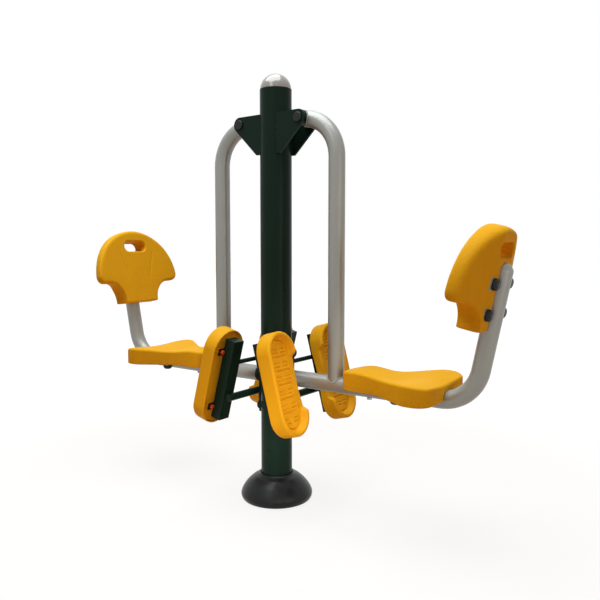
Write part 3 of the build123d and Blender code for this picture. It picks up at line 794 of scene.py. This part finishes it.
    def half(self) -> Sheet:
        """Rings from the slot over the front, round the rim, over the rear and back through the slot.

        Returns:
            The half on one side of the middle line.
        """
        edge = evenly(self.outline(), self.around)
        angles = self.bearing(edge)
        angles[0], angles[-1] = 0.0, math.pi
        mouth = self.at_bearing(self.slot(self.slot_lip), angles)
        hole = self.at_bearing(self.slot(0.0), angles)
        rings, front, rear = self.rim(edge)
        rows = []
        for share in np.linspace(0.0, 1.0, self.front_rings):
            flat = mouth + (front - mouth) * share
            rows.append(np.column_stack([flat, self.front_level(flat)]))
        rows += rings
        for share in np.linspace(1.0, 0.0, self.rear_rings)[1:]:
            flat = mouth + (rear - mouth) * share
            rows.append(np.column_stack([flat, self.rear_level(flat)]))
        low, high = self.rear_level(mouth), self.front_level(mouth)
        turn = np.linspace(0.0, math.pi / 2, self.lip_rings)[1:]
        flats = [mouth + (hole - mouth) * math.sin(angle) for angle in turn]
        steps = [self.slot_lip * (1 - math.cos(angle)) for angle in turn]
        inner = high - low - 2 * self.slot_lip
        rows += [np.column_stack([flat, low + step]) for flat, step in zip(flats, steps)]
        rows += [np.column_stack([hole, low + self.slot_lip + inner * share]) for share in QUARTERS]
        rows += [np.column_stack([flat, high - step]) for flat, step in zip(flats[::-1], steps[::-1])]
        return grid(np.stack(rows), ring=True)

    def build(self, side: Side) -> bpy.types.Object:
        """Both halves as one piece, leaning back with the upright.

        Args:
            side: side of the station.

        Returns:
            The backrest.
        """
        half = self.half()
        up = (math.sin(self.lean), 0.0, math.cos(self.lean))
        forward = (-math.cos(self.lean), 0.0, math.sin(self.lean))
        place = Place((self.corner_x, 0.0, self.corner_z), ((0.0, 1.0, 0.0), up, forward))
        whole = side.placed([place.world(half), place.world(mirrored(half, 0))])
        return make_piece(side.node("backrest_moulding"), whole, YELLOW, side.body, (side.node("backrest"),))


@dataclass
class FootTray:
    """Foot tray: a stadium shaped shell with a soft rim that dips on the inner side, and a tread.

    Points are up along the tray from its middle, across it, and out from its back.
    """

    rod_x: float = 80.5
    rod_z: float = 394.0
    lean: float = math.radians(15.0)
    along: float = 52.8
    across: float = 153.0
    out: float = 58.7
    length: float = 357.0
    width: float = 150.0
    height: float = 55.0
    recess: float = 20.0
    wall: float = 5.0
    lip: Points = ((5.0, 1.5), (4.4, 0.4), (3.4, 0.0), (1.6, 0.0), (0.5, 0.5), (0.0, 1.8))
    gate: Pair = (-105.0, 104.0)
    gate_run: float = 20.0
    scoop: float = 7.0
    scoop_half: float = 98.0
    rim_r: float = 8.0
    rim_flat: float = 11.0
    rim_foot: float = 26.0
    floor_drop: float = 6.5
    floor_gap: float = 1.0
    boss_r: float = 10.0
    boss_s: float = 104.0
    boss_y: float = 40.0
    boss_bite: float = 1.0
    tread_inset: float = 28.0
    tread_rise: float = 0.4
    tread_bite: float = 1.0
    border_drop: float = 4.0
    border_run: float = 3.0
    pitch: float = 47.0
    last_groove: float = 2.5
    groove_depth: float = 5.0
    groove_half: float = 4.4
    groove_margin: float = 4.0
    dash_rows: Pair = (3.0, -10.0)
    dash_half: float = 3.4
    dash_share: float = 0.9
    dash_gap: float = 6.5
    dash_margin: float = 9.0
    end_fade: float = 2.5
    gap_fade: float = 2.0
    end_steps: int = 72
    side_steps: int = 70
    rim_rings: int = 9
    slope_rings: int = 13
    tread_rows: int = 400
    tread_cols: int = 92

    @property
    def end_at(self) -> float:
        """Distance from the middle of the tray to the middle of each round end."""
        return (self.length - self.width) / 2

    @property
    def floor(self) -> float:
        """Level of the tread in the recess."""
        return self.height - self.recess

    def outline(self) -> Array:
        """Closed stadium, its inner side hollowed by a smooth scoop.

        The scoop's depth follows one less the square of the way from its middle, all squared.

        Returns:
            Points along and across, one row each.
        """
        r, x = self.width / 2, self.end_at
        arc = np.linspace(-math.pi / 2, math.pi / 2, self.end_steps, endpoint=False)
        run = np.linspace(x, -x, self.side_steps, endpoint=False)
        top = np.stack([x + r * np.cos(arc), r * np.sin(arc)], axis=1)
        outer = np.stack([run, np.full_like(run, r)], axis=1)
        way = np.clip((-run - sum(self.gate) / 2) / self.scoop_half, -1.0, 1.0)
        inner = np.stack([-run, -r + self.scoop * (1.0 - way**2) ** 2], axis=1)
        return np.vstack([top, outer, -top, inner])

    def rim_height(self, edge: Array) -> Array:
        """Height of the rim: full all round, eased down to the floor along the gate on the inner side.

        Args:
            edge: the outline.

        Returns:
            Height at each point.
        """
        s, y = edge[:, 0], edge[:, 1]
        gate = ease((s - self.gate[0]) / self.gate_run) * ease((self.gate[1] - s) / self.gate_run)
        return self.height - self.recess * gate * (y < 0)

    def shell(self) -> Sheet:
        """Rings from the roof behind, down the wall, over the rim and down to the floor.

        Over the rim the height is a quarter circle, a flat, and a smooth step down to the floor.

        Returns:
            The shell.
        """
        edge = self.outline()
        tangent = np.roll(edge, -1, 0) - np.roll(edge, 1, 0)
        tangent /= np.linalg.norm(tangent, axis=1)[:, None]
        inward = np.stack([-tangent[:, 1], tangent[:, 0]], axis=1)
        spine = np.column_stack([np.clip(edge[:, 0], -self.end_at, self.end_at), np.zeros(len(edge))])
        rim = self.rim_height(edge)
        low = self.floor - self.floor_drop
        foot = self.lip[-1][1]

        def ring(inset: float, level: Array | float, share: float = 0.0) -> Array:
            """The outline moved inwards, and from there a share of the way to the middle, at a level."""
            flat = edge + inward * inset
            return np.column_stack([flat + (spine - flat) * share, np.broadcast_to(level, len(edge))])

        def over(inset: float) -> Array:
            """The ring over the rim at an inset."""
            lift = math.sqrt(self.rim_r**2 - (self.rim_r - min(inset, self.rim_r)) ** 2)
            step = ease(np.array((inset - self.rim_flat) / (self.rim_foot - self.rim_flat)))
            return ring(inset, rim - self.rim_r + lift - (rim - self.floor) * step)

        rows = [ring(self.wall, low - self.wall, share) for share in (1.0, 0.6, 0.3, 0.0)]
        rows += [ring(inset, level) for inset, level in self.lip]
        rows += [ring(0.0, foot + (rim - self.rim_r - foot) * share) for share in QUARTERS]
        rows += [over(self.rim_r * (1.0 - math.cos(a))) for a in np.linspace(0.0, math.pi / 2, self.rim_rings)]
        rows += [over(d) for d in np.linspace(self.rim_r, self.rim_foot, self.slope_rings)[1:]]
        rows += [ring(self.rim_foot + self.floor_gap, low, share) for share in (0.0, 0.4, 0.7, 1.0)]
        return grid(np.stack(rows), loop=True)

    def tread(self) -> Sheet:
        """Tread in the recess: a height field with full grooves at each pitch and two columns of dashes.

        Each groove is a smooth valley across its line. Rows follow the stadium, so they narrow at its ends.

        Returns:
            The tread, closed by a flat base.
        """
        half_w = self.width / 2 - self.tread_inset
        half_l = self.length / 2 - self.tread_inset
        s = np.linspace(-half_l, half_l, self.tread_rows)[:, None]
        beyond = np.maximum(np.abs(s) - self.end_at, 0.0)
        y = np.linspace(-1.0, 1.0, self.tread_cols) * np.sqrt(np.maximum(half_w**2 - beyond**2, 0.0))
        inside = half_w - np.hypot(beyond, y)
        block = np.mod(s, self.pitch) - self.pitch / 2
        line = 1.0 - ease((self.pitch / 2 - np.abs(block)) / self.groove_half)
        line = line * (np.abs(s) < self.last_groove * self.pitch)
        groove = line * ease((inside - self.groove_margin) / self.end_fade)
        row = np.minimum(*(np.abs(block - at) for at in self.dash_rows))
        column = ease((np.abs(y) - self.dash_gap) / self.gap_fade)
        column = column * ease((inside - self.dash_margin) / self.end_fade)
        dash = (1.0 - ease(row / self.dash_half)) * column
        border = self.border_drop * (1.0 - ease(inside / self.border_run))
        level = self.floor + self.tread_rise - border
        level = level - self.groove_depth * np.maximum(groove, self.dash_share * dash)
        wide = np.broadcast_to(s, y.shape)
        top = np.stack([wide, y, level], axis=-1)
        base = np.stack([wide, y, np.full_like(y, self.floor - self.floor_drop - self.tread_bite)], axis=-1)
        return grid(np.concatenate([base[:, :1], top, base[:, -1:]], axis=1), loop=True)

    def bosses(self) -> list[Sheet]:
        """Bosses that stand on the lugs, from the back of the tray up into its floor.

        Returns:
            One sheet for each boss.
        """
        high = self.floor - self.floor_drop - self.wall + self.boss_bite
        places = [(s, y) for s in (-self.boss_s, self.boss_s) for y in (-self.boss_y, self.boss_y)]
        return [boss(at, self.boss_r, 0.0, high) for at in places]

    def build(self, side: Side, end: End) -> list[bpy.types.Object]:
        """Shell and tread of one tray.

        Args:
            side: side of the station.
            end: front or rear.

        Returns:
            The two pieces.
        """
        up = np.array((-math.sin(self.lean), 0.0, math.cos(self.lean)))
        outward = np.array((math.cos(self.lean), 0.0, math.sin(self.lean)))
        origin = np.array((self.rod_x, -self.across, self.rod_z)) + up * self.along + outward * self.out
        place = Place(tuple(origin), (tuple(up), (0.0, -1.0, 0.0), tuple(outward)))
        name = side.node(f"{end.name.lower()}_foot_tray")
        made = []
        shell = [self.shell(), *self.bosses()]
        for label, sheets, stands_for in (("shell", shell, (name,)), ("tread", [self.tread()], ())):
            sheets = end.placed(side.placed([place.world(sheet) for sheet in sheets]))
            made.append(make_piece(f"{name}_{label}", sheets, TRAY_YELLOW, STAND, stands_for))
        return made


@dataclass
class Boot:
    """Bell shaped boot round the foot of the post, with a lip against the tube.

    Points are radius and height.
    """

    outside: Points = (
        (119.0, 0.0), (125.5, 2.0), (130.5, 11.0), (131.8, 22.0), (127.0, 36.0), (117.5, 51.0),
        (104.0, 67.0), (86.0, 82.0), (72.0, 89.0), (66.5, 91.5),
    )
    lip: Points = ((66.5, 91.5), (64.5, 97.0), (58.6, 97.0), (57.3, 92.0), (57.3, 86.0))
    lip_radii: Triple = (2.0, 1.5, 2.0)
    inside: Points = ((57.3, 86.0), (84.0, 77.0), (113.0, 49.0), (127.0, 22.0), (122.0, 3.0), (119.0, 0.0))
    lip_steps: int = 8
    turns: int = 96

    def build(self) -> bpy.types.Object:
        """Turn the profile about the post: a smooth curve outside, a lip ring, and the wall inside.

        Returns:
            The boot.
        """
        lip = rounded_path(self.lip, self.lip_radii, self.lip_steps)
        profile = np.vstack([smooth_curve(self.outside), lip[1:], smooth_curve(self.inside)[1:]])
        sheet = revolve(profile, np.zeros(3), self.turns)
        return make_piece("boot_moulding", [sheet], BOOT_BLACK, STAND, ("base_boot",))


@dataclass
class Welds:
    """Rippled weld beads where tubes, hubs and ear plates meet."""

    bead_r: float = 2.2
    ripple: float = 0.18
    ripple_mm: float = 4.5
    tube_r: float = 28.5
    saddle_share: float = 0.96
    arm_x: float = 259.8
    seat_tube_z: float = 456.5
    pivot_x: float = 130.9
    pivot_z: float = 1368.4
    hub_r: float = 27.0
    hub_share: float = 0.96
    arm_dip: float = math.radians(4.0)
    post_r: float = 57.0
    ear_y: Pair = (38.0, 46.0)
    ear_z: Pair = (1258.0, 1392.0)
    points: int = 240
    sides: int = 10

    def bead(self, path: Array, closed: bool = False) -> Sheet:
        """Bead along a path: its radius swells and shrinks as a sine with each ripple.

        Args:
            path: rows of three coordinates.
            closed: join the end of the path to its start.

        Returns:
            The bead.
        """
        path = evenly(np.vstack([path, path[:1]]) if closed else path, self.points)
        path = path[:-1] if closed else path
        length = np.linalg.norm(np.diff(path, axis=0), axis=1).mean() * np.arange(len(path))
        radius = self.bead_r * (1.0 + self.ripple * np.sin(2.0 * math.pi * length / self.ripple_mm))
        return sweep(path, radius, self.sides, closed)

    def circle(self) -> tuple[Array, Array]:
        """The two coordinates of points round the arm tube."""
        angle = np.linspace(0.0, 2.0 * math.pi, self.points, endpoint=False)
        return self.tube_r * np.cos(angle), self.tube_r * np.sin(angle)

    def arm_foot(self) -> Sheet:
        """Saddle line of the upright arm tube on the seat tube, which has the same radius.

        The line's height over the seat tube's axis and a share of its way across add up, squared, to the
        radius squared. The share rounds off the line's two tips.

        Returns:
            The bead.
        """
        x, y = self.circle()
        z = np.sqrt(self.tube_r**2 - (self.saddle_share * y) ** 2)
        return self.bead(np.stack([self.arm_x + x, y, self.seat_tube_z + z], axis=1), closed=True)

    def hub_foot(self) -> Sheet:
        """Line of the arm tube on the hub: points of the tube that are the hub's radius from the pivot.

        Returns:
            The bead.
        """
        up, y = self.circle()
        held = np.clip(up, -self.hub_r * self.hub_share, self.hub_r * self.hub_share)
        out = np.sqrt(self.hub_r**2 - held**2)
        dip_c, dip_s = math.cos(self.arm_dip), math.sin(self.arm_dip)
        x = self.pivot_x + out * dip_c + held * dip_s
        z = self.pivot_z - out * dip_s + held * dip_c
        return self.bead(np.stack([x, y, z], axis=1), closed=True)

    def ear_feet(self) -> list[Sheet]:
        """Upright lines on both faces of each ear plate where it meets the post.

        Returns:
            One bead for each line.
        """
        lines = []
        for y in self.ear_y:
            x = math.sqrt(self.post_r**2 - y**2)
            for sign in (-1.0, 1.0):
                lines.append(self.bead(np.array([(x, sign * y, z) for z in self.ear_z])))
        return lines

    def build(self, side: Side) -> list[bpy.types.Object]:
        """Beads on the arm and on the ears of one side.

        Args:
            side: side of the station.

        Returns:
            The two pieces.
        """
        arm = side.placed([self.arm_foot(), self.hub_foot()])
        return [
            make_piece(side.node("arm_welds"), arm, SILVER, side.body),
            make_piece(side.node("ear_welds"), side.placed(self.ear_feet()), GREEN, STAND),
        ]


@dataclass(frozen=True)
class Lamp:
    """One square area lamp, or one soft spot lamp where a cone is given.

    Its place and its aim are in metres, its size is the side of a square or the radius of a spot, and its
    cone is the full angle of a spot in degrees.
    """

    name: str
    at: Triple
    aim: Triple
    size: float
    watts: float
    tint: str = "#FFFFFF"
    cone: float = 0.0

    def hang(self) -> None:
        """Make the lamp at its place and turn it to its aim."""
        data = bpy.data.lights.new(self.name, "SPOT" if self.cone else "AREA")
        if self.cone:
            data.spot_size = math.radians(self.cone)
            data.spot_blend = 1.0
            data.shadow_soft_size = self.size
        else:
            data.size = self.size
        data.energy = self.watts
        data.color = linear(self.tint)[:3]
        lamp = bpy.data.objects.new(self.name, data)
        lamp.location = self.at
        lamp.rotation_euler = (Vector(self.aim) - Vector(self.at)).to_track_quat("-Z", "Y").to_euler()
        bpy.context.scene.collection.objects.link(lamp)


@dataclass
class Studio:
    """White studio: camera of the picture, soft lamps, a pale floor and a white surround."""

    lens: float = 39.177
    sensor: float = 36.0
    eye: Triple = (1.46496, -1.86974, 0.926685)
    forward: Triple = (-0.58581, 0.80644, -0.08051)
    fill: str = "#FFCE9A"
    fill_strength: float = 0.15
    floor_m: float = 30.0
    floor_z: float = -0.0004
    floor_tone: str = "#C49E76"
    floor_seen: str = "#F4F4F2"
    floor_glow: float = 1.06
    shadow_share: float = 0.2
    shadow_fade: Pair = (0.9, 2.2)
    lamps: tuple[Lamp, ...] = (
        Lamp("key_lamp", (0.2, -3.4, 3.2), (0.0, 0.0, 0.7), 1.2, 11.0),
        Lamp("top_lamp", (-0.3, -0.4, 3.8), (0.0, 0.0, 0.5), 3.0, 124.0),
        Lamp("side_lamp", (2.9, -0.7, 0.9), (0.3, 0.0, 0.6), 1.2, 8.5, tint="#FFF0E0"),
        Lamp("tray_lamp", (1.6, -1.7, 1.0), (0.05, -0.14, 0.4), 0.2, 130.0, tint="#FFE3C0", cone=15.0),
        Lamp("foot_lamp", (1.0, -2.0, 0.4), (0.0, 0.0, 0.22), 0.15, 150.0, cone=8.0),
    )

    def camera(self) -> None:
        """Stand the camera at the eye point."""
        data = bpy.data.cameras.new("picture_camera")
        data.lens = self.lens
        data.sensor_width = self.sensor
        view = bpy.data.objects.new("picture_camera", data)
        view.location = self.eye
        view.rotation_euler = Vector(self.forward).to_track_quat("-Z", "Y").to_euler()
        bpy.context.scene.collection.objects.link(view)
        bpy.context.scene.camera = view

    def seen(self, tree: bpy.types.NodeTree) -> bpy.types.NodeSocket:
        """One where the camera, gloss or glass looks, and zero for plain light.

        Args:
            tree: node tree that takes the nodes.

        Returns:
            The socket that gives it.
        """
        rays = put(tree, "ShaderNodeLightPath").outputs
        found = rays["Is Camera Ray"]
        for kind in ("Is Glossy Ray", "Is Transmission Ray"):
            found = put(tree, "ShaderNodeMath", {0: found, 1: rays[kind]}, operation="MAXIMUM").outputs[0]
        return found

    def surround(self) -> None:
        """White world for the camera and for gloss, a warm fill for everything else."""
        world = bpy.data.worlds.new("white_surround")
        world.use_nodes = True
        bpy.context.scene.world = world
        tree = world.node_tree
        tree.nodes.clear()
        fill = put(tree, "ShaderNodeBackground", {"Color": linear(self.fill), "Strength": self.fill_strength})
        white = put(tree, "ShaderNodeBackground", {"Color": WHITE, "Strength": 1.0})
        parts = {"Fac": self.seen(tree), 1: fill.outputs[0], 2: white.outputs[0]}
        mix = put(tree, "ShaderNodeMixShader", parts)
        put(tree, "ShaderNodeOutputWorld", {"Surface": mix.outputs[0]})

    def floor_paint(self) -> bpy.types.Material:
        """Paint that glows white to the camera, less a share near the object that keeps its shadow.

        Returns:
            The material.
        """
        paint = bpy.data.materials.new("pale_floor_paint")
        paint.use_nodes = True
        tree = paint.node_tree
        tree.nodes.clear()
        seen = self.seen(tree)
        place = put(tree, "ShaderNodeTexCoord").outputs["Object"]
        away = put(tree, "ShaderNodeVectorMath", {0: place}, operation="LENGTH").outputs["Value"]
        fade = {"Value": away, "From Min": self.shadow_fade[0], "From Max": self.shadow_fade[1]}
        fade |= {"To Min": 1.0 - self.shadow_share, "To Max": 1.0}
        plain = put(tree, "ShaderNodeMapRange", fade, interpolation_type="SMOOTHSTEP").outputs["Result"]
        share = put(tree, "ShaderNodeMath", {0: seen, 1: plain}, operation="MULTIPLY")
        tones = {"Factor": seen, 6: linear(self.floor_tone), 7: linear(self.floor_seen)}
        tone = put(tree, "ShaderNodeMix", tones, data_type="RGBA")
        matt = put(tree, "ShaderNodeBsdfDiffuse", {"Color": tone.outputs[2]})
        glow = put(tree, "ShaderNodeEmission", {"Color": WHITE, "Strength": self.floor_glow})
        parts = {"Fac": share.outputs[0], 1: matt.outputs[0], 2: glow.outputs[0]}
        mix = put(tree, "ShaderNodeMixShader", parts)
        put(tree, "ShaderNodeOutputMaterial", {"Surface": mix.outputs[0]})
        return paint

    def floor(self) -> None:
        """Lay the floor, one square just under the object."""
        half = self.floor_m / 2
        corners = [(x * half, y * half, self.floor_z) for x, y in ((-1, -1), (1, -1), (1, 1), (-1, 1))]
        mesh = bpy.data.meshes.new("pale_floor")
        mesh.from_pydata(corners, [], [(0, 1, 2, 3)])
        mesh.materials.append(self.floor_paint())
        floor = bpy.data.objects.new("pale_floor", mesh)
        bpy.context.scene.collection.objects.link(floor)

    def build(self) -> None:
        """Set up the whole studio."""
        bpy.context.scene.view_settings.view_transform = "Standard"
        self.camera()
        self.surround()
        self.floor()
        for lamp in self.lamps:
            lamp.hang()


def dress_nodes() -> None:
    """Give every CAD node the finish of its material slot."""
    slots = {part["node"]: part["material_slot"] for part in frame["record"]["subparts"]}
    for name, node in frame["nodes"].items():
        node.data.materials.clear()
        node.data.materials.append(FINISHES[slots[name]].material())
    LOG.info("%d nodes dressed", len(slots))


def main() -> None:
    """Build the studio, dress the frame and add each piece."""
    logging.basicConfig(level=logging.INFO, format="%(name)s: %(message)s")
    Studio().build()
    dress_nodes()
    Boot().build()
    for side in Side:
        Seat().build(side)
        Backrest().build(side)
        Welds().build(side)
        for end in End:
            FootTray().build(side, end)


if __name__ == "__main__":
    main()
